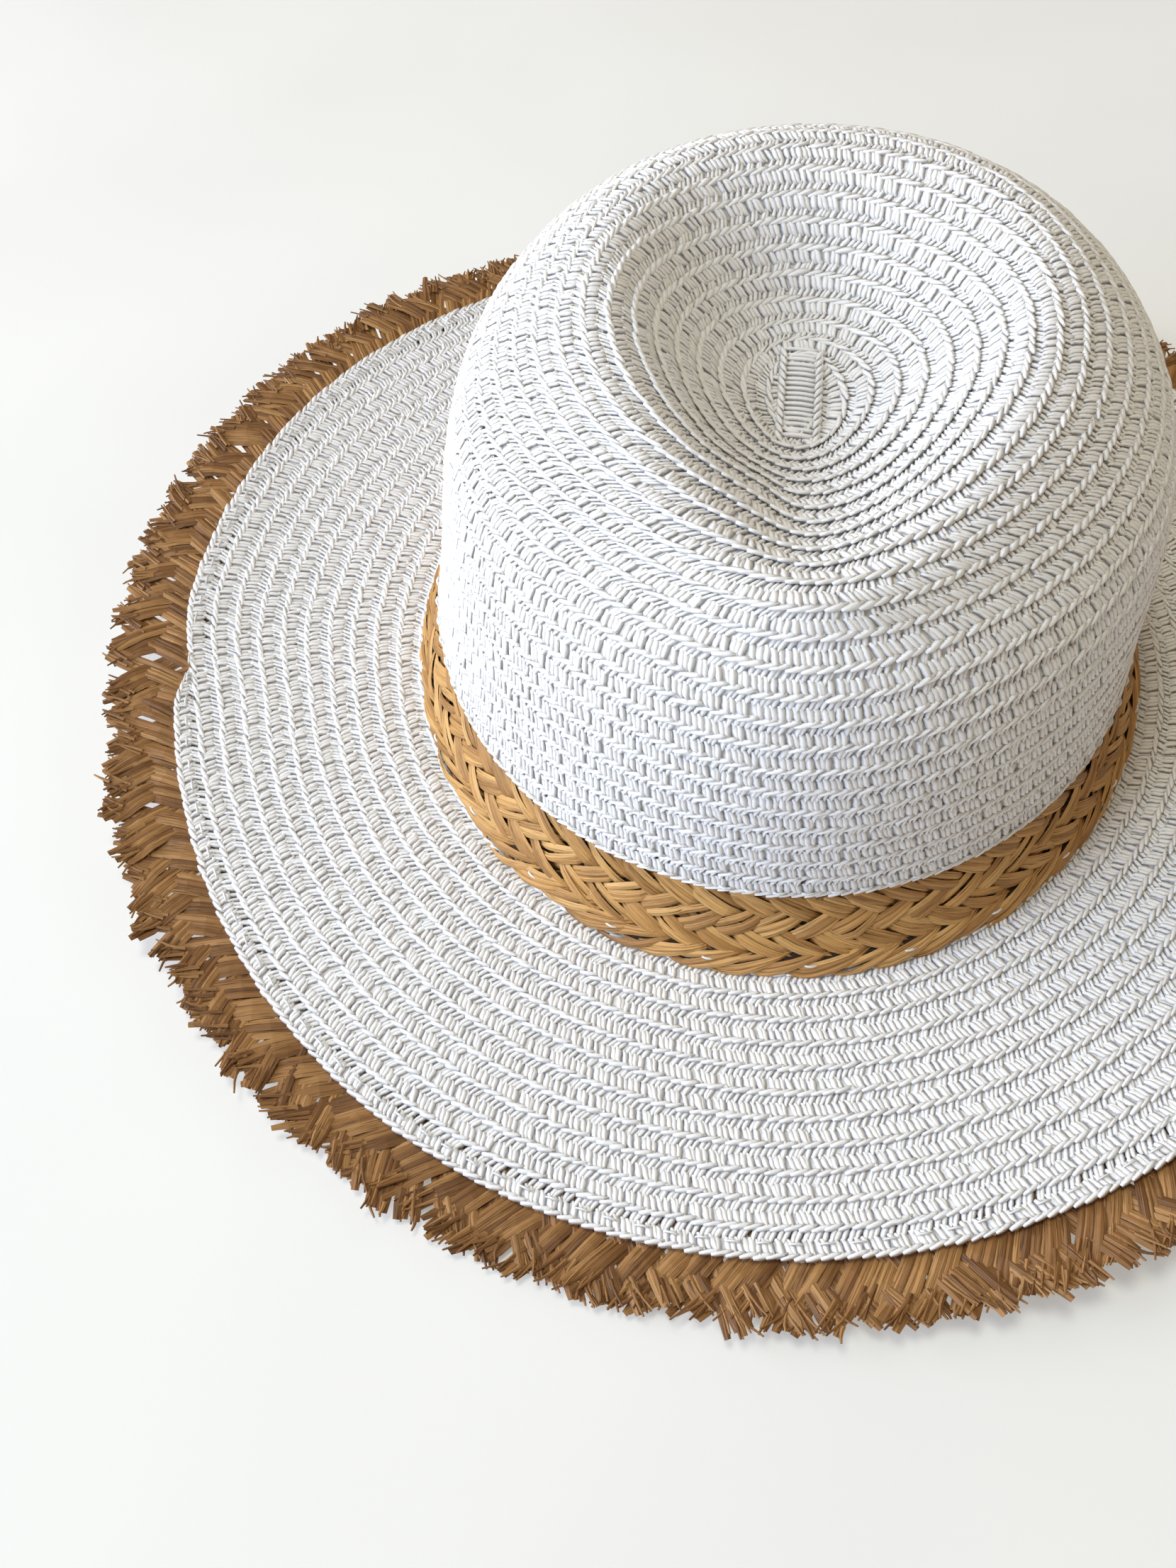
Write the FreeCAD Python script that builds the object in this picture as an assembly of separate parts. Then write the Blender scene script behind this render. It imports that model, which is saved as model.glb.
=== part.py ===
import FreeCAD, Part
import math
import os

# Straw sun hat: a crown sewn from white paper braid, a wide raffia plait let in
# as the hat band, a brim sewn from the same white braid, and a second raffia
# plait under the brim's edge whose cut ends make the fringe.  A woven sweatband
# hangs inside.  Everything is sewn, so nothing moves.
#
# Millimetres, +Z up, the hat's front faces -Y.  The hat is drawn with the brim's
# throat at height 0 and lifted at the end so that its lowest point stands on z = 0.

# ---- driving dimensions ------------------------------------------------------
braid_thickness = 2.0        # two shingled layers of paper braid
plait_thickness = 1.8        # raffia plait of the band
fringe_thickness = 1.6       # raffia plait of the fringe
ribbon_thickness = 0.9       # woven sweatband ribbon
thread_size = 0.7            # sewing thread, width and height of a seam line

head_half_width = 87.4       # crown's lower edge, outside, ear to ear
head_half_length = 100.7     # crown's lower edge, outside, front to back
crown_edge_height = 20.5     # crown's lower edge above the brim's throat
crown_overlap = 4.5          # how far the band's top runs up inside the crown
crown_gap = 0.35             # play between the crown and the band's top inside it
crown_lean = 2.6             # soft crown leans a little to the wearer's left

band_half_width = 94.2       # band's lower edge, outside
band_half_length = 108.5

brim_half_width = 157.5      # white edge of the brim
brim_half_length = 170.0
brim_rise = 1.0              # mean height of the white edge above the throat
brim_wave = 7.0              # saddle of the edge: up at the sides, down at front and back
brim_wave_turn = math.radians(-20.4)

fringe_tuck = 7.5            # plait hidden under the brim's last row
fringe_reach = 16.5          # plait showing past the brim's edge
fringe_lift = 2.0            # the cut ends stand up a little

sweatband_height = 29.0
sweatband_top = 28.0
tab_width = 14.0             # tab that covers the sweatband's join, at the back

points_round = 32            # interpolation points on each closed outline


# ---- outlines ----------------------------------------------------------------
def outline(half_width, back, front, height, taper=0.0, pitch=0.0, lean=0.0):
    """Closed smooth wire, egg-shaped where taper is above 0: broad at the back,
    narrow at the front.  pitch raises the back and lowers the front."""
    middle, half_length = (back + front) / 2, (back - front) / 2
    broadest = 1 + taper ** 2 / 2
    points = []
    for i in range(points_round):
        a = 2 * math.pi * i / points_round
        x = lean + half_width * math.cos(a) * (1 + taper * math.sin(a)) / broadest
        y = middle + half_length * math.sin(a)
        points.append(FreeCAD.Vector(x, y, height + pitch * math.sin(a)))
    curve = Part.BSplineCurve()
    curve.interpolate(Points=points, PeriodicFlag=True)
    return Part.Wire(curve.toShape())


def brim_outline(out, below=0.0):
    """Closed wire on the brim's surface: out is 0 at the throat and 1 at the
    white edge, and runs past 1 over the fringe."""
    half_width = throat_half_width + out * (brim_half_width - throat_half_width)
    half_length = throat_half_length + out * (brim_half_length - throat_half_length)
    inside = min(out, 1.0)
    past = max(out - 1.0, 0.0) * (brim_half_width - throat_half_width) / fringe_reach
    points = []
    for i in range(points_round):
        a = 2 * math.pi * i / points_round
        edge = brim_rise + brim_wave * math.cos(2 * (a - brim_wave_turn))
        z = edge * inside ** 2 + fringe_lift * past - below
        points.append(FreeCAD.Vector(half_width * math.cos(a), half_length * math.sin(a), z))
    curve = Part.BSplineCurve()
    curve.interpolate(Points=points, PeriodicFlag=True)
    return Part.Wire(curve.toShape())


# ---- closed sheets -----------------------------------------------------------
def sheet(outer, inner, closed_tip=False, ruled=False):
    """Solid between two skins, each lofted through its list of wires.  The rims are
    ruled from skin to skin; with closed_tip the last wires are filled in instead."""
    faces = Part.makeLoft(outer, False, ruled).Faces
    faces += Part.makeLoft(inner, False, ruled).Faces
    faces += Part.makeLoft([outer[0], inner[0]], False, True).Faces
    if closed_tip:
        faces += [Part.Face(outer[-1]), Part.Face(inner[-1])]
    else:
        faces += Part.makeLoft([outer[-1], inner[-1]], False, True).Faces
    shell = Part.Shell(faces)
    shell.sewShape()
    solid = Part.Solid(shell)
    if solid.Volume < 0:
        solid.reverse()
    return solid


def wall(stations, thickness):
    """Ring-shaped wall.  Each station is (half width, half length, height) of the
    outside face; the inside face lies thickness further in."""
    outer = [outline(w, l, -l, z) for w, l, z in stations]
    inner = [outline(w - thickness, l - thickness, thickness - l, z) for w, l, z in stations]
    return sheet(outer, inner, ruled=True)


# ---- derived sizes -----------------------------------------------------------
band_top_width = head_half_width - braid_thickness - crown_gap
band_top_length = head_half_length - braid_thickness - crown_gap
throat_half_width = band_top_width - plait_thickness - 0.1
throat_half_length = band_top_length - plait_thickness - 0.1


# ---- sub-parts ---------------------------------------------------------------
def crown_braid():
    """Crown with a teardrop dent.  Stations run up the wall, over the rim and down
    to the flat start of the spiral.  lean is the direction of the outward normal:
    0 degrees is level, 90 straight up, more than 90 faces the dent."""
    length = head_half_length
    stations = (
        # half width, back, front, height, taper, pitch, sideways share, normal
        (head_half_width, length, -length, crown_edge_height, 0.0, 0.0, 0.0, 0),
        (86.7, 100.7, -100.7, 26.0, 0.0, 0.0, 0.1, 0),
        (84.8, 100.6, -100.6, 41.0, 0.0, 0.0, 0.3, 2),
        (82.8, 99.0, -99.2, 62.7, 0.0, 0.0, 0.6, 8),
        (77.8, 92.0, -94.6, 80.7, 0.03, -0.6, 0.8, 30),
        (68.0, 77.8, -90.0, 91.6, 0.13, 2.0, 1.0, 52),
        (49.0, 59.5, -82.5, 100.2, 0.36, 3.4, 1.0, 90),
        (34.5, 43.0, -59.6, 93.0, 0.36, 2.6, 0.9, 118),
        (18.7, 26.6, -44.4, 83.6, 0.13, -2.6, 0.5, 112),
        (9.3, 10.0, -22.8, 79.0, 0.0, 0.0, 0.0, 95),
    )
    outer, inner = [], []
    for half_width, back, front, height, taper, pitch, share, normal in stations:
        lean = crown_lean * share
        shrink = braid_thickness * math.cos(math.radians(normal))
        lower = braid_thickness * math.sin(math.radians(normal))
        outer.append(outline(half_width, back, front, height, taper, pitch, lean))
        inner.append(outline(half_width - shrink, back - shrink, front + shrink,
                             height - lower, taper, pitch, lean))
    return sheet(outer, inner, closed_tip=True)


def brim_braid():
    """Brim from its throat to the white edge, with the edge's gentle saddle."""
    steps = (0.0, 0.33, 0.67, 1.0)
    return sheet([brim_outline(s) for s in steps],
                 [brim_outline(s, braid_thickness) for s in steps])


def hat_band_plait():
    """Flared raffia plait: stands on the brim, its top tucked up inside the crown."""
    return wall((
        (band_half_width, band_half_length, -0.6),
        (band_top_width, band_top_length, crown_edge_height - 0.3),
        (band_top_width, band_top_length, crown_edge_height + crown_overlap),
    ), plait_thickness)


def fringe_plait():
    """Flat raffia plait sewn under the brim's last row, its cut ends showing."""
    span = brim_half_width - throat_half_width
    steps = [1 - fringe_tuck / span, 1.0, 1 + fringe_reach / span]
    top = [brim_outline(s, braid_thickness) for s in steps]
    bottom = [brim_outline(s, braid_thickness + fringe_thickness) for s in steps]
    return sheet(top, bottom, ruled=True)


def sweatband():
    """Woven ribbon standing inside the crown, sewn to the brim's throat."""
    width, length = throat_half_width - 0.05, throat_half_length - 0.05
    bottom = sweatband_top - sweatband_height
    return wall(((width, length, bottom), (width, length, sweatband_top)), ribbon_thickness)


def sweatband_tab():
    """Short tab that covers the sweatband's join at the back of the head."""
    inside = throat_half_length - 0.05 - ribbon_thickness
    height = sweatband_height - 4
    ring = wall(((throat_half_width - 0.05 - ribbon_thickness, inside, sweatband_top - 2 - height),
                 (throat_half_width - 0.05 - ribbon_thickness, inside, sweatband_top - 2)),
                ribbon_thickness)
    block = Part.makeBox(tab_width, 20, height + 10,
                         FreeCAD.Vector(-tab_width / 2, inside - 15, sweatband_top - 7 - height))
    return ring.common(block)


def seam(half_width, half_length, height):
    """One line of thread lying on the outside of an upright wall."""
    return wall(((half_width + thread_size, half_length + thread_size, height),
                 (half_width + thread_size, half_length + thread_size, height + thread_size)),
                thread_size)


def crown_edge_thread():
    """Seam that fastens the crown's last row over the top of the band."""
    return seam(head_half_width + 0.2, head_half_length + 0.2, crown_edge_height + 1.5)


def sweatband_thread():
    """Seam along the foot of the sweatband, on the side that meets the head."""
    width = throat_half_width - 0.05 - ribbon_thickness
    length = throat_half_length - 0.05 - ribbon_thickness
    return wall(((width, length, 0.2), (width, length, 0.2 + thread_size)), thread_size)


def surface_seam(out):
    """One line of thread lying on the top of the brim."""
    across = thread_size / (brim_half_width - throat_half_width)
    return sheet([brim_outline(out, -thread_size), brim_outline(out + across, -thread_size)],
                 [brim_outline(out), brim_outline(out + across)], ruled=True)


def band_edge_thread():
    """Seam beside the band's lower edge, which fastens it down to the brim."""
    span = brim_half_width - throat_half_width
    return surface_seam((band_half_width + 1.0 - throat_half_width) / span)


def fringe_thread():
    """Seam along the brim's last row, which holds the fringe plait under it."""
    span = brim_half_width - throat_half_width
    return surface_seam(1 - 2.6 / span)


# ---- assembly ----------------------------------------------------------------
nodes = {
    "crown_braid": crown_braid(),
    "brim_braid": brim_braid(),
    "hat_band_plait": hat_band_plait(),
    "fringe_plait": fringe_plait(),
    "sweatband": sweatband(),
    "sweatband_tab": sweatband_tab(),
    "crown_edge_thread": crown_edge_thread(),
    "band_edge_thread": band_edge_thread(),
    "fringe_thread": fringe_thread(),
    "sweatband_thread": sweatband_thread(),
}
# The plait is pressed between its neighbours, so it takes the shape they leave it.
nodes["hat_band_plait"] = nodes["hat_band_plait"].cut([nodes["brim_braid"], nodes["crown_braid"]])

lowest = min(s.optimalBoundingBox(True, False).ZMin for s in nodes.values())
os.makedirs("parts", exist_ok=True)
for name, shape in nodes.items():
    shape.translate(FreeCAD.Vector(0, 0, -lowest))
    solids = shape.Solids
    print(name, "solids", len(solids), "valid", shape.isValid(), "closed",
          all(s.isClosed() for s in solids), "volume", round(shape.Volume, 1))
    (solids[0] if len(solids) == 1 else shape).exportStep("parts/" + name + ".step")
print("lift", round(-lowest, 3))
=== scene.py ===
import math

import bpy
import numpy as np
from mathutils import Matrix, Vector


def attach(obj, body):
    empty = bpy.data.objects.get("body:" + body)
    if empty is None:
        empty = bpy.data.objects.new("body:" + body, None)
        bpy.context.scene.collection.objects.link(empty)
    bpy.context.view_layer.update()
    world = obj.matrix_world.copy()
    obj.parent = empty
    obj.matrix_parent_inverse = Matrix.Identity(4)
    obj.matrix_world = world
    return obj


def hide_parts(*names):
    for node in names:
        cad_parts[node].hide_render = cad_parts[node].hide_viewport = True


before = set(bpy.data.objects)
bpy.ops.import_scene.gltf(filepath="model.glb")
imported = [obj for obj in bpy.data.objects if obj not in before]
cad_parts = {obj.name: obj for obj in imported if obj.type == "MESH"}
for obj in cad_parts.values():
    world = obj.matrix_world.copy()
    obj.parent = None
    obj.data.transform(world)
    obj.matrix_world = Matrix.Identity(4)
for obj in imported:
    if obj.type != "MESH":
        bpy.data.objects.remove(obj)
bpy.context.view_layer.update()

# Straw sun hat.  Lengths are millimetres up to make_piece(), which turns them into
# metres.  Heights are measured from the brim's throat, as in the CAD source, and
# make_piece() adds LIFT, which stands the lowest point of the fringe on z = 0.
# Front is -Y, the wearer's left is +X.  Angles run counterclockwise seen from above,
# from +X, in degrees.

rng = np.random.default_rng(20)

# ---- sizes shared with the CAD source ---------------------------------------
LIFT = 9.6
CROWN_EDGE_HEIGHT = 20.5
CROWN_LEAN = 2.6
BAND_TOP = (85.05, 98.35)                            # band's outside, half width and length
BAND_FOOT = (94.2, 108.5)
THROAT = (83.15, 96.45)
BRIM_EDGE = (157.5, 170.0)                           # white edge of the brim
BRIM_RISE, BRIM_WAVE, BRIM_TURN = 1.0, 7.0, -20.4
BRAID_THICKNESS = 2.0
FRINGE_TUCK, FRINGE_REACH, FRINGE_LIFT = 7.5, 16.5, 2.0
# mean radius of each seam and plait, which turns a distance along it into an angle
CROWN_EDGE_ROUND, BAND_ROUND, BAND_FOOT_ROUND = 94.0, 96.6, 100.0
WHITE_EDGE_ROUND, FRINGE_SEAM_ROUND, SWEATBAND_ROUND = 163.9, 161.0, 89.0
# half width, back, front, height, taper, pitch, sideways share; start oval first
CROWN_STATIONS = (
    (9.3, 10.0, -22.8, 79.0, 0.0, 0.0, 0.0),
    (18.7, 26.6, -44.4, 83.6, 0.13, -2.6, 0.5),
    (34.5, 43.0, -59.6, 93.0, 0.36, 2.6, 0.9),
    (49.0, 59.5, -82.5, 100.2, 0.36, 3.4, 1.0),
    (68.0, 77.8, -90.0, 91.6, 0.13, 2.0, 1.0),
    (77.8, 92.0, -94.6, 80.7, 0.03, -0.6, 0.8),
    (82.8, 99.0, -99.2, 62.7, 0.0, 0.0, 0.6),
    (84.8, 100.6, -100.6, 41.0, 0.0, 0.0, 0.3),
    (86.7, 100.7, -100.7, 26.0, 0.0, 0.0, 0.1),
    (87.4, 100.7, -100.7, 20.5, 0.0, 0.0, 0.0),
)
# the fingers' pinch: the crest is pressed in beside the front of the dent.  How far at
# most, at what angle and distance down the slope, and how far round and down it spreads
PINCH, PINCH_ANGLE, PINCH_DOWN, PINCH_SPREAD = 4.0, 240.0, 34.0, (20.0, 13.0)

# ---- the braid ----------------------------------------------------------------
ROW_PITCH = 6.0          # from one row of braid to the next
STITCH = 5.3             # length of braid in which its pattern repeats
CROWN_TURNS = 24         # whole rows on the crown
CROWN_START = 30.0       # angle where each turn of the crown's spiral begins
DENT_TURNS = 10          # rows that keep their pitch round the dent and over the crest
FIRST_ROW = 0.05         # share of a row by which the first one clears the start oval
BRIM_TURNS = 10          # whole rows between the band and the white edge
BRIM_START = 191.0       # angle where the brim's spiral ends
CLUMP = -0.12            # strands of one stitch lie this much closer together


def smooth(x):
    x = np.clip(x, 0.0, 1.0)
    return x * x * (3 - 2 * x)


# ---- surfaces -----------------------------------------------------------------
class CrownSurface:
    """Outside of the crown.  s is the distance from the start oval down the slope."""

    STEP_S, STEP_A = 0.5, 0.5
    INSIDE = 8.6         # how far the flat floor of the dent reaches inside the oval

    def __init__(self):
        angle = np.radians(np.arange(0, 360, self.STEP_A))
        rings = np.stack([self.ring(s, angle) for s in CROWN_STATIONS])
        run = np.linalg.norm(np.diff(rings, axis=0), axis=2).mean(1)
        knots = np.concatenate([[0], np.cumsum(run)])
        fine = self.spline(knots, rings, np.linspace(0, knots[-1], 500))
        length = np.concatenate([np.zeros((1, len(angle))), np.cumsum(
            np.linalg.norm(np.diff(fine, axis=0), axis=2), 0)])
        self.full = length[-1]
        pinch = PINCH * np.exp(-((np.degrees(angle)[None] - PINCH_ANGLE) / PINCH_SPREAD[0]) ** 2
                               - ((length - PINCH_DOWN) / PINCH_SPREAD[1]) ** 2)
        fine = fine - pinch[:, :, None] * np.stack(
            [np.cos(angle), np.sin(angle), 0.25 + 0 * angle], -1)
        # the flat floor inside the start oval, and a short run past the lower edge
        inward = np.linspace(self.INSIDE, 0.5, 12)
        width, back, front, height = CROWN_STATIONS[0][:4]
        floor = np.stack([self.ring((width - d, back - d, front + d, height - 0.05 * d,
                                     0, 0, 0), angle) for d in inward])
        tail = fine[-1] + (fine[-1] - fine[-4]) / (length[-1] - length[-4])[:, None] * 3.0
        points = np.concatenate([floor, fine, tail[None]])
        s = np.concatenate([-inward[:, None] + np.zeros((1, len(angle))), length,
                            length[-1:] + 3.0])
        self.s0 = -self.INSIDE
        samples = np.arange(self.s0, self.full.max() + 3, self.STEP_S)
        grid = np.empty((len(samples), len(angle), 3))
        for j in range(len(angle)):
            for c in range(3):
                grid[:, j, c] = np.interp(samples, s[:, j], points[:, j, c])
        down = np.gradient(grid, axis=0)
        around = (np.roll(grid, -1, 1) - np.roll(grid, 1, 1))
        normal = np.cross(down, around)
        self.grid = grid
        self.normal = normal / np.maximum(np.linalg.norm(normal, axis=2, keepdims=True), 1e-9)

    @staticmethod
    def ring(station, a):
        width, back, front, height, taper, pitch, share = station
        x = CROWN_LEAN * share + width * np.cos(a) * (1 + taper * np.sin(a)) / (1 + taper ** 2 / 2)
        y = (back + front) / 2 + (back - front) / 2 * np.sin(a)
        return np.stack([x, y, height + pitch * np.sin(a)], -1)

    @staticmethod
    def spline(knots, values, x):
        """Natural cubic spline through values at knots."""
        n, step = len(knots), np.diff(knots)
        matrix, right = np.eye(n), np.zeros_like(values)
        for i in range(1, n - 1):
            matrix[i, i - 1:i + 2] = step[i - 1], 2 * (step[i - 1] + step[i]), step[i]
            right[i] = 6 * ((values[i + 1] - values[i]) / step[i]
                            - (values[i] - values[i - 1]) / step[i - 1])
        bend = np.tensordot(np.linalg.inv(matrix), right, 1)
        i = np.clip(np.searchsorted(knots, x) - 1, 0, n - 2)
        h = step[i][:, None, None]
        a = (knots[i + 1] - x)[:, None, None] / h
        b = 1 - a
        return (a * values[i] + b * values[i + 1]
                + ((a ** 3 - a) * bend[i] + (b ** 3 - b) * bend[i + 1]) * h ** 2 / 6)

    def length(self, angle):
        i = np.mod(angle, 360) / self.STEP_A
        j = np.floor(i).astype(int)
        n = len(self.full)
        return self.full[j % n] * (1 - (i - j)) + self.full[(j + 1) % n] * (i - j)

    def at(self, angle, s, height):
        i = np.mod(angle, 360) / self.STEP_A
        j = np.clip((s - self.s0) / self.STEP_S, 0, len(self.grid) - 1.001)
        i0, j0 = np.floor(i).astype(int), np.floor(j).astype(int)
        fi, fj = (i - i0)[..., None], (j - j0)[..., None]
        n = self.grid.shape[1]
        i0, i1 = i0 % n, (i0 + 1) % n
        point, normal = (
            (g[j0, i0] * (1 - fi) + g[j0, i1] * fi) * (1 - fj)
            + (g[j0 + 1, i0] * (1 - fi) + g[j0 + 1, i1] * fi) * fj
            for g in (self.grid, self.normal))
        return point + normal * np.asarray(height)[..., None]


crown = CrownSurface()


def brim_point(angle, out, height):
    """Top of the brim: out is 0 at the throat and 1 at the white edge."""
    a = np.radians(angle)
    wide = THROAT[0] + out * (BRIM_EDGE[0] - THROAT[0])
    long = THROAT[1] + out * (BRIM_EDGE[1] - THROAT[1])
    edge = BRIM_RISE + BRIM_WAVE * np.cos(2 * (a - math.radians(BRIM_TURN)))
    past = np.maximum(out - 1, 0) * (BRIM_EDGE[0] - THROAT[0]) / FRINGE_REACH
    z = edge * np.clip(out, 0, 1) ** 2 + FRINGE_LIFT * past + height
    return np.stack([wide * np.cos(a), long * np.sin(a), z], -1)


def band_point(angle, down, height):
    """Outside of the band: down is the distance from its top edge, which is tucked
    3 mm up inside the crown."""
    a = np.radians(angle)
    tucked, slope, drop = 3.0, 23.0, 20.8
    onto_brim, rest = 19.0, 1.6                    # from here down it rests on the brim's braid
    f = np.clip((down - tucked) / slope, 0, 1.08)
    wide = BAND_TOP[0] + f * (BAND_FOOT[0] - BAND_TOP[0])
    long = BAND_TOP[1] + f * (BAND_FOOT[1] - BAND_TOP[1])
    z = CROWN_EDGE_HEIGHT - 0.3 - f * drop + np.clip(tucked - down, 0, None)
    tilt = 0.42 * smooth((down - tucked) / 4)      # normal leans up on the slope
    flat, up = np.cos(tilt) * height, np.sin(tilt) * height
    z = z + rest * smooth((down - onto_brim) / 5)
    return np.stack([(wide + flat) * np.cos(a), (long + flat) * np.sin(a), z + up], -1)


# ---- spirals of braid -----------------------------------------------------------
def crown_line(turn):
    """Slope distance of the row line at this many turns.  The rows keep their pitch
    round the dent and share out the difference on the wall."""
    angle = CROWN_START - 360 * turn
    window = 0.03
    whole = np.round(turn)
    part = np.mod(turn, 1)
    join = np.abs(turn - whole) < window
    part = np.where(join, 1 - window + (2 * window - 1) * smooth(
        (turn - whole + window) / (2 * window)), part)
    last = CROWN_TURNS + part
    full = crown.length(angle)
    share = np.clip((turn - DENT_TURNS) / (last - DENT_TURNS), 0, 1)
    return np.minimum(ROW_PITCH * (turn + FIRST_ROW)
                      + (full - ROW_PITCH * (last + FIRST_ROW)) * share, full)


def brim_line(turn):
    """Share of the way from the band to the white edge of the row line at this many
    turns.  One more row is let in on the front than on the back, and the braid ends
    where its last row runs out at BRIM_START."""
    window = 0.022
    let_in_from, let_in_over = 0.28, 0.30        # in turns; where the extra row widens
    end_taper, end_run = 0.045, 0.014            # how much the last end narrows, over what
    first = 0.152                                # the band's lower edge
    whole = np.round(turn)

    def plain(t, j):
        more = smooth((t - j - let_in_from) / let_in_over)
        return (j + more) / (BRIM_TURNS + more)

    before = plain(np.minimum(turn, whole - 1e-6), whole - 1)
    after = plain(np.maximum(turn, whole), whole)
    near = np.abs(turn - whole) < window
    blend = smooth((turn - whole + window) / (2 * window))
    j = np.floor(turn)
    share = np.where(near, before * (1 - blend) + after * blend, plain(turn, j))
    share = np.minimum(share, 1.0) - end_taper * smooth((turn - BRIM_TURNS - 1) / end_run + 1)
    return first + (1 - first) * share


class Spiral:
    """A braid sewn round and round.  along is the distance along it, clockwise and
    outward; across is 0 at a row's inner edge and 1 at its outer edge."""

    def __init__(self, start_angle, line, point, first, last):
        self.start_angle, self.line, self.point = start_angle, line, point
        self.turns = np.arange(first, last, 1 / 1080)
        middle = self.place(self.turns, 0.5, 0.0)
        steps = np.linalg.norm(np.diff(middle, axis=0), axis=1)
        self.runs = np.concatenate([[0], np.cumsum(steps)])
        self.length = self.runs[-1]

    def place(self, turn, across, height):
        inner, outer = self.line(turn - 1), self.line(turn)
        return self.point(self.start_angle - 360 * turn, inner + (outer - inner) * across,
                          height + np.zeros_like(turn + across))

    def turn_at(self, along):
        return np.interp(along, self.runs, self.turns)

    def at(self, along, across, height):
        return self.place(self.turn_at(along), across, height)

    def width(self, along):
        """Row width as a share of the pitch; small where the braid runs out."""
        turn = self.turn_at(along)
        gap = self.place(turn, 1.0, 0.0) - self.place(turn, 0.0, 0.0)
        return np.linalg.norm(gap, axis=-1) / ROW_PITCH


# ---- strands --------------------------------------------------------------------
class Soup:
    """Collects faces for one or more pieces of one material."""

    def __init__(self):
        self.points, self.quads, self.tris, self.strand = [], [], [], []
        self.count = 0

    def add(self, points, quads, tris, strand):
        self.points.append(points.reshape(-1, 3))
        self.quads.append(quads.reshape(-1, 4) + self.count)
        self.tris.append(tris.reshape(-1, 3) + self.count)
        self.strand.append(strand.reshape(-1, 3))
        self.count += points.size // 3


def strands(soup, place, x, across, height, width, thick, scale=ROW_PITCH, side=None):
    """Adds closed three-sided strands.  x, across, height, width: (n, m) arrays along
    each strand; place maps (x, across, height) to a point; scale is the millimetres
    in one unit of across; side shifts a strand sideways."""
    n, m = x.shape
    dx, dv = np.gradient(x, axis=1), np.gradient(across, axis=1) * scale
    run = np.hypot(dx, dv) + 1e-9
    nx, nv = -dv / run, dx / run
    if side is not None:
        x, across = x + nx * side, across + nv * side / scale
    half = width / 2
    corner = ((-1.0, 0.0), (0.0, 1.0), (1.0, 0.0))
    rings = []
    for a, b in corner:
        rings.append(place(x + nx * half * a, across + nv * half * a / scale,
                           height + thick * (b - 0.35)))
    points = np.stack(rings, 2)                                  # n, m, 3 corners, 3
    index = np.arange(n * m * 3).reshape(n, m, 3)
    following = np.roll(index, -1, 2)
    quads = np.stack([index[:, :-1], following[:, :-1], following[:, 1:], index[:, 1:]], -1)
    tris = np.concatenate([index[:, 0, ::-1], index[:, -1]])
    travel = np.concatenate([np.zeros((n, 1)), np.cumsum(run, 1)[:, :-1]], 1)
    # tones start at 0.05, clear of tone 0, which the raffia keeps for near-black painted shade
    tone = 0.05 + 0.95 * rng.random((n, 1)) + np.zeros((n, m))
    strand = np.stack([np.repeat(travel[..., None], 3, 2),
                       np.zeros((n, m, 3)) + np.arange(3) * 0.5 + tone[..., None] * 40,
                       np.repeat(tone[..., None], 3, 2)], -1)
    soup.add(points, quads, tris, strand)


def sheet_strip(soup, place, x, across, height, tone=0.5):
    """Adds one open strip of a sheet.  x: (n,) along it; across, height: (n, m)."""
    n, m = across.shape
    points = place(x[:, None] + np.zeros((1, m)), across, height)
    index = np.arange(n * m).reshape(n, m)
    quads = np.stack([index[:-1, :-1], index[1:, :-1], index[1:, 1:], index[:-1, 1:]], -1)
    strand = np.stack([x[:, None] + np.zeros((1, m)), across * ROW_PITCH,
                       np.full((n, m), tone)], -1)
    soup.add(points, quads, np.zeros((0, 3), int), strand)


class Kind:
    """One family of strands in a braid's pattern.  count: in each STITCH; x, across,
    height: from start to end; hump: rise in the middle; bend: how far it swings."""

    def __init__(self, count, x, across, height, hump, bend, width, thick, shift=0.0):
        self.count, self.x, self.across, self.height = count, x, across, height
        self.hump, self.bend, self.width, self.thick, self.shift = hump, bend, width, thick, shift


def shingle(across):
    """Height of a row's middle: tucked under the row before it, proud at its lip."""
    return -1.20 + 0.60 * across


# seen from outside with the crown's tip up, x runs to the right and across runs down
TOP_STRANDS = (
    Kind(4, (1.2, 0.1), (-0.12, 0.48), (0.08, 0.18), 0.13, 0.12, 1.36, 0.45),
    Kind(4, (0.0, 1.8), (0.34, 0.92), (0.18, 0.22), 0.20, 0.22, 1.74, 0.42, 0.5),
    Kind(2, (0.0, 4.0), (1.06, 0.84), (0.36, 0.32), 0.20, 0.10, 1.45, 0.52, 0.9),
)
UNDER_STRANDS = (
    Kind(2, (0.0, 2.3), (0.02, 0.98), (-0.75, -0.85), -0.35, 0.30, 1.60, 0.7),
    Kind(1, (4.6, 0.0), (0.55, 0.96), (-1.05, -1.05), -0.30, 0.20, 1.80, 0.7, 0.3),
)


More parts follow.
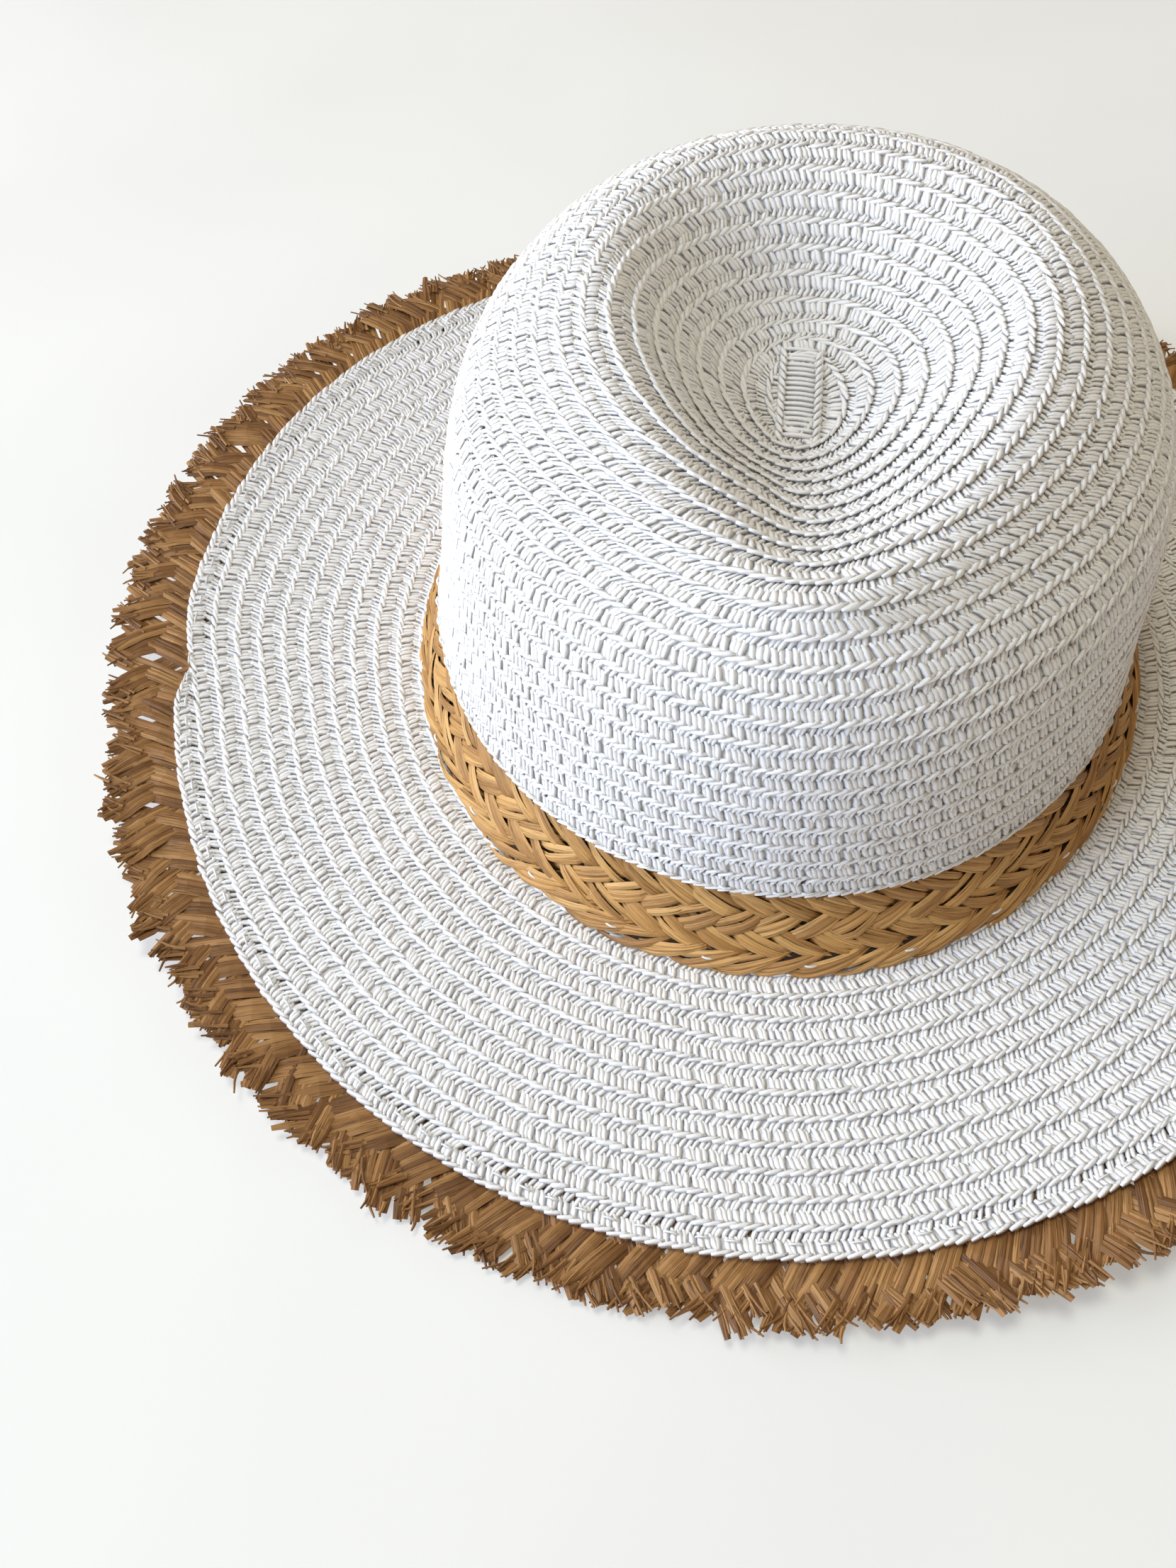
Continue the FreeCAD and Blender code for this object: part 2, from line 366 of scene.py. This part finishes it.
def braid(soup, spiral, start, end, kinds, relief=1.0, rings=5):
    """Fills one stretch of a spiral with its strands; relief scales how far they stand up."""
    periods = int((end - start) / STITCH)
    step = (end - start) / max(periods, 1)
    t = np.linspace(0, 1, rings)[None]
    wave = np.sin(np.pi * t)
    for kind in kinds:
        n = periods * kind.count
        at = start + (np.arange(n) / kind.count + kind.shift / STITCH) * step
        at = at + CLUMP * ((np.arange(n) % kind.count) - (kind.count - 1) / 2)
        at = at + rng.normal(0, 0.13, n)
        keep = spiral.width(at) > 0.16
        at = at[keep][:, None]
        n = len(at)
        sway = rng.normal(0, 0.30, (n, 1))
        x = kind.x[0] + (kind.x[1] - kind.x[0] + sway) * t + kind.bend * np.sin(2 * np.pi * t)
        across = kind.across[0] + (kind.across[1] - kind.across[0]) * t
        across = across + rng.normal(0, 0.022, (n, 1))
        rise = kind.height[0] + (kind.height[1] - kind.height[0]) * t + kind.hump * wave
        height = shingle(across) + relief * rise + rng.normal(0, 0.06, (n, 1))
        width = kind.width * (0.50 + 0.50 * wave ** 0.6) * (1 + rng.normal(0, 0.10, (n, 1)))
        # along runs clockwise, which is to the left when the tip is up
        strands(soup, spiral.at, at - x, across, height, width, kind.thick)


def backing(soup, spiral, start, end, open_part):
    """The layer of braid under the strands.  open_part(along) is 1 where only one layer
    lies there and daylight or dark shows between the strands."""
    x = np.arange(start, end + 1.5, 1.5)
    x = x[spiral.width(np.minimum(x, end)) > 0.05]
    gap = open_part(x)[:, None]
    inner = -0.20 + 0.62 * gap
    across = inner + (1.0 - inner) * np.linspace(0, 1, 5)[None]
    height = shingle(across) - 0.20
    sheet_strip(soup, spiral.at, x, across, height)


# ---- pieces ---------------------------------------------------------------------
def make_piece(name, soup, material, node, round_strands=True):
    """Turns a soup into an object in metres; the shaders read its "strand" attribute:
    distance along, distance across, tone."""
    points = np.concatenate(soup.points)
    points = (points + (0, 0, LIFT)) / 1000.0
    quads, tris = np.concatenate(soup.quads), np.concatenate(soup.tris)
    mesh = bpy.data.meshes.new(name)
    mesh.vertices.add(len(points))
    mesh.vertices.foreach_set("co", points.astype(np.float32).ravel())
    corners = np.concatenate([quads.ravel(), tris.ravel()])
    mesh.loops.add(len(corners))
    mesh.loops.foreach_set("vertex_index", corners.astype(np.int32))
    starts = np.concatenate([np.arange(len(quads)) * 4, len(quads) * 4 + np.arange(len(tris)) * 3])
    mesh.polygons.add(len(starts))
    mesh.polygons.foreach_set("loop_start", starts.astype(np.int32))
    mesh.update(calc_edges=True)
    mesh.polygons.foreach_set("use_smooth", np.full(len(starts), round_strands))
    attribute = mesh.attributes.new("strand", "FLOAT_VECTOR", "POINT")
    attribute.data.foreach_set("vector", np.concatenate(soup.strand).astype(np.float32).ravel())
    mesh.validate()
    mesh.materials.append(material)
    piece = bpy.data.objects.new(name, mesh)
    bpy.context.scene.collection.objects.link(piece)
    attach(piece, "root")
    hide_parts(node)
    return piece


# ---- materials --------------------------------------------------------------------
def material(name):
    made = bpy.data.materials.new(name)
    made.use_nodes = True
    nodes, links = made.node_tree.nodes, made.node_tree.links
    return made, nodes, links, nodes["Principled BSDF"]


def strand_noise(nodes, links, along, around, detail=3.0):
    """Noise drawn out along each strand: (noise node, separate node of the attribute)."""
    strand = nodes.new("ShaderNodeAttribute")
    strand.attribute_name = "strand"
    stretch = nodes.new("ShaderNodeMapping")
    stretch.inputs["Scale"].default_value = (along, around, 1.0)
    noise = nodes.new("ShaderNodeTexNoise")
    noise.inputs["Scale"].default_value = 1.0
    noise.inputs["Detail"].default_value = detail
    noise.inputs["Roughness"].default_value = 0.6
    split = nodes.new("ShaderNodeSeparateXYZ")
    links.new(strand.outputs["Vector"], stretch.inputs["Vector"])
    links.new(stretch.outputs["Vector"], noise.inputs["Vector"])
    links.new(strand.outputs["Vector"], split.inputs["Vector"])
    return noise, split


def ramp(nodes, links, source, stops):
    made = nodes.new("ShaderNodeValToRGB")
    made.color_ramp.elements[0].position, made.color_ramp.elements[0].color = stops[0]
    made.color_ramp.elements[1].position, made.color_ramp.elements[1].color = stops[-1]
    for position, colour in stops[1:-1]:
        made.color_ramp.elements.new(position).color = colour
    links.new(source, made.inputs["Fac"])
    return made


def multiply(nodes, links, a, b):
    made = nodes.new("ShaderNodeMix")
    made.data_type, made.blend_type = "RGBA", "MULTIPLY"
    made.inputs["Factor"].default_value = 1.0
    links.new(a, made.inputs["A"])
    links.new(b, made.inputs["B"])
    return made.outputs["Result"]


def bump(nodes, links, shader, source, strength, distance):
    made = nodes.new("ShaderNodeBump")
    made.inputs["Strength"].default_value = strength
    made.inputs["Distance"].default_value = distance
    links.new(source, made.inputs["Height"])
    links.new(made.outputs["Normal"], shader.inputs["Normal"])


def white_braid():
    """Twisted white paper: even colour, fine twist lines, matt with a faint gloss."""
    made, nodes, links, shader = material("white_paper_braid")
    noise, split = strand_noise(nodes, links, 1.6, 3.0)
    tone = ramp(nodes, links, split.outputs["Z"], (
        (0.0, (0.90, 0.90, 0.89, 1)), (0.6, (0.94, 0.94, 0.935, 1)), (1.0, (0.97, 0.97, 0.965, 1))))
    streak = ramp(nodes, links, noise.outputs["Fac"], (
        (0.25, (0.95, 0.95, 0.95, 1)), (0.6, (1, 1, 1, 1))))
    colour = multiply(nodes, links, tone.outputs["Color"], streak.outputs["Color"])
    links.new(colour, shader.inputs["Base Color"])
    shader.inputs["Roughness"].default_value = 0.55
    shader.inputs["Specular IOR Level"].default_value = 0.35
    shader.inputs["Subsurface Weight"].default_value = 0.25
    shader.inputs["Subsurface Radius"].default_value = (1.0, 1.0, 1.0)
    shader.inputs["Subsurface Scale"].default_value = 0.0006
    bump(nodes, links, shader, noise.outputs["Fac"], 0.35, 0.00018)
    return made


def raffia(name, dark, middle, light):
    """Tan raffia ribbon: long fibre streaks, each ribbon its own tone, satin."""
    made, nodes, links, shader = material(name)
    noise, split = strand_noise(nodes, links, 0.11, 8.0, 4.0)
    # tone 0 is near-black painted shade, used only by the band's backing sheet; strand tones start at
    # 0.05
    tone = ramp(nodes, links, split.outputs["Z"], (
        (0.0, (0.05, 0.025, 0.010, 1)), (0.03, dark), (0.5, middle), (1.0, light)))
    streak = ramp(nodes, links, noise.outputs["Fac"], (
        (0.34, (0.30, 0.24, 0.18, 1)), (0.45, (0.86, 0.85, 0.84, 1)), (0.72, (1.24, 1.20, 1.12, 1))))
    colour = multiply(nodes, links, tone.outputs["Color"], streak.outputs["Color"])
    links.new(colour, shader.inputs["Base Color"])
    shader.inputs["Roughness"].default_value = 0.50
    shader.inputs["Specular IOR Level"].default_value = 0.40
    bump(nodes, links, shader, noise.outputs["Fac"], 0.6, 0.00030)
    return made


def spun_thread():
    """White sewing thread with its twist."""
    made, nodes, links, shader = material("spun_thread")
    noise, split = strand_noise(nodes, links, 2.5, 2.0)
    tone = ramp(nodes, links, noise.outputs["Fac"], (
        (0.3, (0.78, 0.78, 0.76, 1)), (0.7, (0.95, 0.95, 0.93, 1))))
    links.new(tone.outputs["Color"], shader.inputs["Base Color"])
    shader.inputs["Roughness"].default_value = 0.6
    bump(nodes, links, shader, noise.outputs["Fac"], 0.4, 0.0001)
    return made


def grosgrain():
    """Ribbed ribbon: upright ribs about 1 mm apart with fine threads between them."""
    made, nodes, links, shader = material("grosgrain_ribbon")
    noise, split = strand_noise(nodes, links, 2.0, 0.6)
    rib = nodes.new("ShaderNodeMath")
    rib.operation = "MULTIPLY"
    rib.inputs[1].default_value = 2 * math.pi / 1.0
    links.new(split.outputs["X"], rib.inputs[0])
    wave = nodes.new("ShaderNodeMath")
    wave.operation = "SINE"
    links.new(rib.outputs["Value"], wave.inputs[0])
    tone = ramp(nodes, links, noise.outputs["Fac"], (
        (0.3, (0.70, 0.69, 0.66, 1)), (0.7, (0.82, 0.81, 0.78, 1))))
    links.new(tone.outputs["Color"], shader.inputs["Base Color"])
    shader.inputs["Roughness"].default_value = 0.75
    bump(nodes, links, shader, wave.outputs["Value"], 0.6, 0.00015)
    return made


white = white_braid()
band_raffia = raffia("band_raffia", (0.37, 0.185, 0.055, 1), (0.58, 0.32, 0.105, 1),
                     (0.73, 0.445, 0.165, 1))
# the fringe's raffia is a darker copy of the band's: the darker colour is painted shade
fringe_raffia_painted_shade = raffia("fringe_raffia_painted_shade", (0.18, 0.080, 0.026, 1), (0.315, 0.155, 0.052, 1),
                       (0.48, 0.265, 0.100, 1))
thread = spun_thread()
ribbon = grosgrain()


# ---- crown and brim rows ------------------------------------------------------------
def rows(name, spiral, node, open_part, parts, relief):
    """Makes one spiral of braid, in several pieces of equal length."""
    cuts = np.linspace(0, spiral.length, parts + 1)
    for k in range(parts):
        soup = Soup()
        braid(soup, spiral, cuts[k], cuts[k + 1], TOP_STRANDS, relief)
        braid(soup, spiral, cuts[k], cuts[k + 1], UNDER_STRANDS, 1.0, 4)
        backing(soup, spiral, cuts[k], cuts[k + 1], open_part)
        make_piece(f"{name}_{k + 1}", soup, white, node)


def crown_open(along):
    """1 where dark shows between the strands: the last row, and the -X side of the wall
    and of the dent."""
    turn = crown_spiral.turn_at(along)
    angle = np.mod(CROWN_START - 360 * turn, 360)
    last = turn >= CROWN_TURNS
    side_at, side_spread, dent_at, dent_spread = 195, 38.0, 200, 40.0
    side = np.exp(-((angle - side_at) / side_spread) ** 2) * (turn > 11)
    dent = np.exp(-((angle - dent_at) / dent_spread) ** 2) * (turn > 2) * (turn < 9)
    return np.clip(last + 0.9 * side + 0.8 * dent, 0, 1)


def brim_open(along):
    """1 on the row past the last whole one, which has no row over its outer half."""
    return (brim_spiral.turn_at(along) > BRIM_TURNS).astype(float)


crown_spiral = Spiral(CROWN_START, crown_line, crown.at, -0.80, CROWN_TURNS + 1.0)
brim_spiral = Spiral(BRIM_START, brim_line, brim_point, -0.72, BRIM_TURNS + 1.0)
CROWN_RELIEF, BRIM_RELIEF, PARTS = 0.80, 0.42, 4
rows("crown_rows", crown_spiral, "crown_braid", crown_open, PARTS, CROWN_RELIEF)
rows("brim_rows", brim_spiral, "brim_braid", brim_open, PARTS, BRIM_RELIEF)


def first_turn():
    """The brim's first turn lies under the band and shows only from below."""
    soup = Soup()
    x = np.radians(np.linspace(0, 360, 241)) * BAND_FOOT_ROUND
    out = np.linspace(0.0, 0.06, 4)[None] + 0 * x[:, None]
    sheet_strip(soup, lambda x, a, h: brim_point(np.degrees(x / BAND_FOOT_ROUND), a, h), x, out,
                np.full(out.shape, -1.5))
    make_piece("brim_first_turn", soup, white, "brim_braid")


first_turn()


# ---- the start of the spiral: a short straight ladder of braid -----------------------
LADDER_LENGTH, LADDER_WIDTH, LADDER_BACK, LADDER_HEIGHT = 32.0, 9.6, 10.0, 78.7
RUNG_PITCH, EDGE_STRAND_PITCH = 1.75, 2.65


def ladder_point(along, across, height):
    x = (across - 0.5) * LADDER_WIDTH
    return np.stack([x, LADDER_BACK - along, LADDER_HEIGHT + height + 0 * x], -1)


def start_ladder():
    """Rungs of straw side by side, with a line of longer stitches on each edge."""
    soup = Soup()
    count = int(LADDER_LENGTH / RUNG_PITCH)
    t = np.linspace(0, 1, 7)[None]
    wave = np.sin(np.pi * t)
    at = (np.arange(count) * RUNG_PITCH + rng.normal(0, 0.12, count))[:, None]
    strands(soup, ladder_point, at + 0.5 * t, 0.12 + 0.76 * t, -0.2 + 0.4 * wave,
            1.35 * (0.7 + 0.3 * wave) + 0 * at, 0.8, LADDER_WIDTH)
    for edge, inward in ((0.0, 0.15), (1.0, 0.85)):
        at = np.arange(int(LADDER_LENGTH / EDGE_STRAND_PITCH))[:, None] * EDGE_STRAND_PITCH
        at = at + rng.normal(0, 0.1, (1, 1))
        strands(soup, ladder_point, at + 3.4 * t, edge + (inward - edge) * t + 0 * at,
                0.1 + 0.35 * wave + 0 * at, 1.5 * (0.5 + 0.5 * wave) + 0 * at, 0.85, LADDER_WIDTH)
    x = np.arange(-1.0, LADDER_LENGTH + 1, 1.0)
    across = np.linspace(0.0, 1.0, 5)[None] + 0 * x[:, None]
    sheet_strip(soup, ladder_point, x, across, np.full(across.shape, -0.9))
    make_piece("crown_start", soup, white, "crown_braid")


start_ladder()


# ---- raffia band ----------------------------------------------------------------------
RIBBON_THICKNESS = 0.36
BAND_STRIPS = (-1.38, 0.0, 1.38)       # each ribbon is three strips side by side


def band():
    """Flat plait: ribbons zigzag between its edges and pass over and under in stripes."""
    soup = Soup()
    ribbons, zigzags, stripes, deep = 13, 5, 5, 26.0
    steps, crease = 330, 7             # points on a ribbon, and from one crease to the next
    creases = range(0, steps + crease, crease)

    def place(x, down, height):
        return band_point(np.degrees(x / BAND_ROUND), down, height)

    angle = np.linspace(0, 360, steps)
    x = (np.radians(angle) * BAND_ROUND)[None]
    for k in range(ribbons):
        phase = angle / 360 * zigzags + k / ribbons
        saw = np.abs(np.mod(phase, 1) * 2 - 1)                       # 1, 0, 1
        across = 0.5 - 0.5 * np.sin(np.pi / 2 * np.clip((0.5 - saw) * 2.06, -1, 1) * 0.999)
        across = 0.25 * across + 0.75 * np.clip(0.5 - (0.5 - saw) * 1.03, 0, 1)
        rising = np.where(np.mod(phase, 1) < 0.5, 1.0, -1.0)
        weave = rising * np.sin(np.pi * stripes * across)
        weave = np.sign(weave) * np.abs(weave) ** 0.6
        for strip in BAND_STRIPS:
            wobble = np.interp(np.arange(steps), creases, rng.normal(0, 0.42, len(creases)))
            lift = -0.70 + 0.80 * weave + wobble * 0.30 - 0.08 * abs(strip)
            strands(soup, place, x, (across * deep)[None], lift[None],
                    1.72 + 0.22 * weave[None], RIBBON_THICKNESS, 1.0,
                    side=(strip * (0.86 + 0.16 * weave) + wobble)[None])
    # a near-black sheet behind the ribbons, painted shade that shows only in the gaps between them
    x = np.radians(np.linspace(0, 360, 241)) * BAND_ROUND
    down = np.linspace(1.0, deep - 0.6, 12)[None] + 0 * x[:, None]
    sheet_strip(soup, place, x, down, -1.55 + 0.75 * smooth((down - 18) / 5), 0.0)
    make_piece("band_plait", soup, band_raffia, "hat_band_plait", False)


band()


# ---- raffia fringe ----------------------------------------------------------------------
FRINGE_PITCH, FRAYS = 6.2, 6       # between ribbons of one family; loose fibres on each
FRINGE_STRIPS, FRINGE_STRIP_WIDTH, FRINGE_STRIP_THICKNESS = (-1.8, -0.6, 0.6, 1.8), 1.95, 0.34
FRINGE_LEAN = 12.5                 # how far a ribbon runs sideways from root to tip
FRINGE_CROSSING = 7.5              # from one crossing of the two families to the next
LONGER_LEFT, SHORTER_FRONT = 2.2, 3.0    # left as the camera sees it


def fringe_point(x, out, height):
    """x: distance along the white edge; out: millimetres outside it."""
    angle = np.degrees(x / WHITE_EDGE_ROUND)
    share = 1 + out / (BRIM_EDGE[0] - THROAT[0])
    return brim_point(angle, share, height - BRAID_THICKNESS)


def fringe():
    """Two families of ribbons lean opposite ways and cross; their ends fray."""
    soup = Soup()
    girth = 2 * math.pi * WHITE_EDGE_ROUND
    count = int(round(girth / FRINGE_PITCH))
    pitch = girth / count
    t, u = np.linspace(0, 1, 9)[None], np.linspace(0, 1, 4)[None]
    for family, slant in ((0, 1.0), (1, -1.0)):
        start = (np.arange(count) + 0.5 * family)[:, None] * pitch + rng.normal(0, 0.45, (count, 1))
        left = np.maximum(-np.cos(start / WHITE_EDGE_ROUND), 0)
        front = np.maximum(-np.sin(start / WHITE_EDGE_ROUND), 0)
        reach = (FRINGE_REACH + LONGER_LEFT * left ** 2 - SHORTER_FRONT * front ** 2
                 + rng.normal(-0.7, 0.9, (count, 1)))
        lean = FRINGE_LEAN + rng.normal(0, 1.5, (count, 1))
        swing = rng.normal(0, 0.9, (count, 1))
        crossing = rng.normal(0, 1.3, (count, 1))
        lifted = rng.normal(0.2, 0.5, (count, 1))
        for strip in FRINGE_STRIPS:
            end = reach + rng.normal(0, 0.7, (count, 1))
            out = -FRINGE_TUCK + (end + FRINGE_TUCK) * t
            spread = 1 + 0.25 * np.clip(t - 0.75, 0, 1) * 4 * rng.normal(0.5, 1.0, (count, 1))
            x = start + slant * (lean * t - lean / 2) + swing * t ** 3
            over = np.cos(np.pi * (out - 3.0 - crossing) / FRINGE_CROSSING) * (1 if family else -1)
            height = (-0.7 + 0.45 * over * smooth((end - out) / 5.0 + 0.3)
                      + lifted * t ** 3 + rng.normal(0, 0.16, (count, 1)) - 0.06 * abs(strip))
            width = (FRINGE_STRIP_WIDTH + 0 * t) * (1 + rng.normal(0, 0.10, (count, 1)))
            width = width * np.where(t > 0.93, 0.7, 1.0)
            strands(soup, fringe_point, x, out, height, width, FRINGE_STRIP_THICKNESS, 1.0,
                    side=strip * spread * 0.92)
        for _ in range(FRAYS):
            tip = reach + np.abs(rng.normal(0.3, 0.8, (count, 1)))
            root = tip - rng.uniform(3.0, 7.0, (count, 1))
            out = root + (tip - root) * u
            along = (out + FRINGE_TUCK) / (reach + FRINGE_TUCK)
            x = (start + slant * (lean * along - lean / 2) + swing * along ** 3
                 + rng.uniform(-2.2, 2.2, (count, 1)) + rng.normal(0, 1.1, (count, 1)) * u ** 2)
            height = (-0.45 + lifted * along ** 3 + rng.normal(0, 0.35, (count, 1)) * u
                      + rng.normal(0.1, 0.2, (count, 1)))
            strands(soup, fringe_point, x, out, height, 0.95 - 0.55 * u + 0 * x, 0.30, 1.0)
    make_piece("fringe_ribbons", soup, fringe_raffia_painted_shade, "fringe_plait", False)


fringe()


# ---- stitches -----------------------------------------------------------------------------
def stitches(name, node, place, radius, spacing, length):
    """A running seam: one small thread bridge for each stitch."""
    soup = Soup()
    width = 0.6                        # of the thread
    girth = 2 * math.pi * radius
    count = int(girth / spacing)
    t = np.linspace(0, 1, 6)[None]
    wave = np.sin(np.pi * t)
    start = (np.arange(count) * girth / count + rng.normal(0, 0.25, count))[:, None]
    strands(soup, place, start + length * t, rng.normal(0, 0.12, (count, 1)) * t,
            -0.15 + 0.45 * wave + 0 * start, width * (0.6 + 0.4 * wave) + 0 * start,
            width * 0.8, 1.0)
    make_piece(name, soup, thread, node)


def on_crown_edge(x, across, height):
    angle = np.degrees(x / CROWN_EDGE_ROUND)
    return crown.at(angle, crown.length(angle) - 1.6 + across, height + 0.2)


def on_band_foot(x, across, height):
    return band_point(np.degrees(x / BAND_FOOT_ROUND), 24.0 + across, height + 0.1)


def on_brim_edge(x, across, height):
    share = 1 - (2.6 - across) / (BRIM_EDGE[0] - THROAT[0])
    return brim_point(np.degrees(x / FRINGE_SEAM_ROUND), share, height)


def on_sweatband(x, across, height):
    a = x / SWEATBAND_ROUND
    inside = 1.0 + height
    return np.stack([(THROAT[0] - inside) * np.cos(a), (THROAT[1] - inside) * np.sin(a),
                     0.5 + across + 0 * a], -1)


stitches("crown_edge_stitches", "crown_edge_thread", on_crown_edge, CROWN_EDGE_ROUND, 6.5, 3.0)
stitches("band_edge_stitches", "band_edge_thread", on_band_foot, BAND_FOOT_ROUND, 24.0, 3.0)
stitches("fringe_stitches", "fringe_thread", on_brim_edge, FRINGE_SEAM_ROUND, 6.5, 3.2)
stitches("sweatband_stitches", "sweatband_thread", on_sweatband, SWEATBAND_ROUND, 5.0, 3.2)


# ---- sweatband ------------------------------------------------------------------------------
def ribbon_sheet(name, node, angles, low, high, inset, thick, ripple):
    """A ribbon on edge inside the crown, with two faces and closed rims."""
    soup = Soup()
    rows_up = 12
    a = np.radians(angles)[:, None]
    z = np.linspace(low, high, rows_up)[None]
    wave = ripple * np.sin(a * 9 + 1.3) * np.clip((z - low) / (high - low), 0, 1) ** 2
    closed = abs(abs(angles[-1] - angles[0]) - 360) < 1e-6
    loop = []
    for inside in (inset, inset + thick):
        loop.append(np.stack([(THROAT[0] - inside - wave) * np.cos(a),
                              (THROAT[1] - inside - wave) * np.sin(a), z + 0 * a], -1))
    section = np.concatenate([loop[0], loop[1][:, ::-1]], 1)          # n, 2 rows, 3
    if closed:
        section = section[:-1]
    n, m = section.shape[:2]
    index = np.arange(n * m).reshape(n, m)
    ahead = np.roll(index, -1, 0) if closed else index[1:]
    here = index if closed else index[:-1]
    up, up_ahead = np.roll(here, -1, 1), np.roll(ahead, -1, 1)
    quads = np.stack([here, up, up_ahead, ahead], -1)
    if not closed:
        half = m // 2
        for end, flip in ((index[0], False), (index[-1], True)):
            cap = np.stack([end[:half - 1], end[1:half], end[::-1][1:half], end[::-1][:half - 1]], -1)
            quads = np.concatenate([quads.reshape(-1, 4), (cap[:, ::-1] if flip else cap)])
    arc = np.radians(angles)[:n, None] * SWEATBAND_ROUND + np.zeros((1, m))
    tall = np.concatenate([z[0], z[0][::-1]])[None] + np.zeros((n, 1))
    soup.add(section, quads, np.zeros((0, 3), int), np.stack([arc, tall, 0 * arc + 0.5], -1))
    return make_piece(name, soup, ribbon, node)


sweatband = ribbon_sheet("sweatband_ribbon", "sweatband", np.linspace(0, 360, 361),
                         -1.0, 28.0, 0.05, 0.9, 0.6)
tab = ribbon_sheet("sweatband_cover", "sweatband_tab", np.linspace(85.3, 94.7, 17),
                   1.0, 26.0, 1.0, 0.9, 0.0)


# ---- floor, light and camera ------------------------------------------------------------------
def stage():
    """A pale floor, in metres, with a little light of its own to reach the photo's."""
    half = 4.0
    mesh = bpy.data.meshes.new("floor")
    mesh.from_pydata([(-half, -half, 0), (half, -half, 0), (half, half, 0), (-half, half, 0)],
                     [], [(0, 1, 2, 3)])
    floor = bpy.data.objects.new("floor", mesh)
    bpy.context.scene.collection.objects.link(floor)
    made, nodes, links, shader = material("pale_floor")
    noise = nodes.new("ShaderNodeTexNoise")
    noise.inputs["Scale"].default_value = 60.0
    tone = ramp(nodes, links, noise.outputs["Fac"], (
        (0.3, (0.59, 0.595, 0.585, 1)), (0.7, (0.63, 0.635, 0.625, 1))))
    links.new(tone.outputs["Color"], shader.inputs["Base Color"])
    shader.inputs["Roughness"].default_value = 0.9
    shader.inputs["Emission Color"].default_value = (0.98, 1.0, 0.96, 1)
    shader.inputs["Emission Strength"].default_value = 0.30
    mesh.materials.append(made)


def soft_light(name, place, aim, size, power, colour):
    data = bpy.data.lights.new(name, "AREA")
    data.shape, data.size, data.energy, data.color = "DISK", size, power, colour
    lamp = bpy.data.objects.new(name, data)
    lamp.location = place
    back = np.subtract(place, aim)
    lamp.rotation_mode = "QUATERNION"
    lamp.rotation_quaternion = Vector(back).to_track_quat("Z", "Y")
    bpy.context.scene.collection.objects.link(lamp)


def camera():
    """The photo's camera: its axes, and its place in metres."""
    right = (0.99173194, 0.12508505, -0.02866179)
    up = (-0.08291612, 0.79506919, 0.60082435)
    forward = (-0.09794225, 0.59348017, -0.79886707)
    eye = (-0.008608, -0.267057, 0.279216 + LIFT / 1000)
    data = bpy.data.cameras.new("camera")
    data.sensor_width = 36.0
    data.lens = 32.576
    data.clip_start = 0.01
    rig = bpy.data.objects.new("camera", data)
    rig.matrix_world = Matrix((
        (right[0], up[0], -forward[0], eye[0]),
        (right[1], up[1], -forward[1], eye[1]),
        (right[2], up[2], -forward[2], eye[2]),
        (0, 0, 0, 1)))
    bpy.context.scene.collection.objects.link(rig)
    bpy.context.scene.camera = rig


stage()
camera()
soft_light("key", (-1.623, 0.0, 0.736), (0, 0, 0.08), 1.1, 17.4, (0.905, 0.925, 1.0))
soft_light("front", (-1.374, -0.793, 0.820), (0, 0, 0.08), 1.1, 22.6, (0.590, 0.735, 1.0))
soft_light("overhead", (-0.286, -0.104, 1.803), (0, 0, 0.08), 0.6, 12.2, (0.99, 1.0, 0.865))


def surroundings():
    """A pale warm room: lightest at the horizon, dimmer overhead."""
    world = bpy.data.worlds.new("studio")
    world.use_nodes = True
    nodes, links = world.node_tree.nodes, world.node_tree.links
    toward = nodes.new("ShaderNodeTexCoord")
    split = nodes.new("ShaderNodeSeparateXYZ")
    links.new(toward.outputs["Generated"], split.inputs["Vector"])
    tone = ramp(nodes, links, split.outputs["Z"], (
        (0.0, (0.78, 0.74, 0.68, 1)), (0.12, (0.52, 0.44, 0.34, 1)), (0.40, (0.19, 0.125, 0.065, 1))))
    links.new(tone.outputs["Color"], nodes["Background"].inputs["Color"])
    nodes["Background"].inputs["Strength"].default_value = 1.0
    bpy.context.scene.world = world


surroundings()
bpy.context.scene.view_settings.view_transform = "Standard"
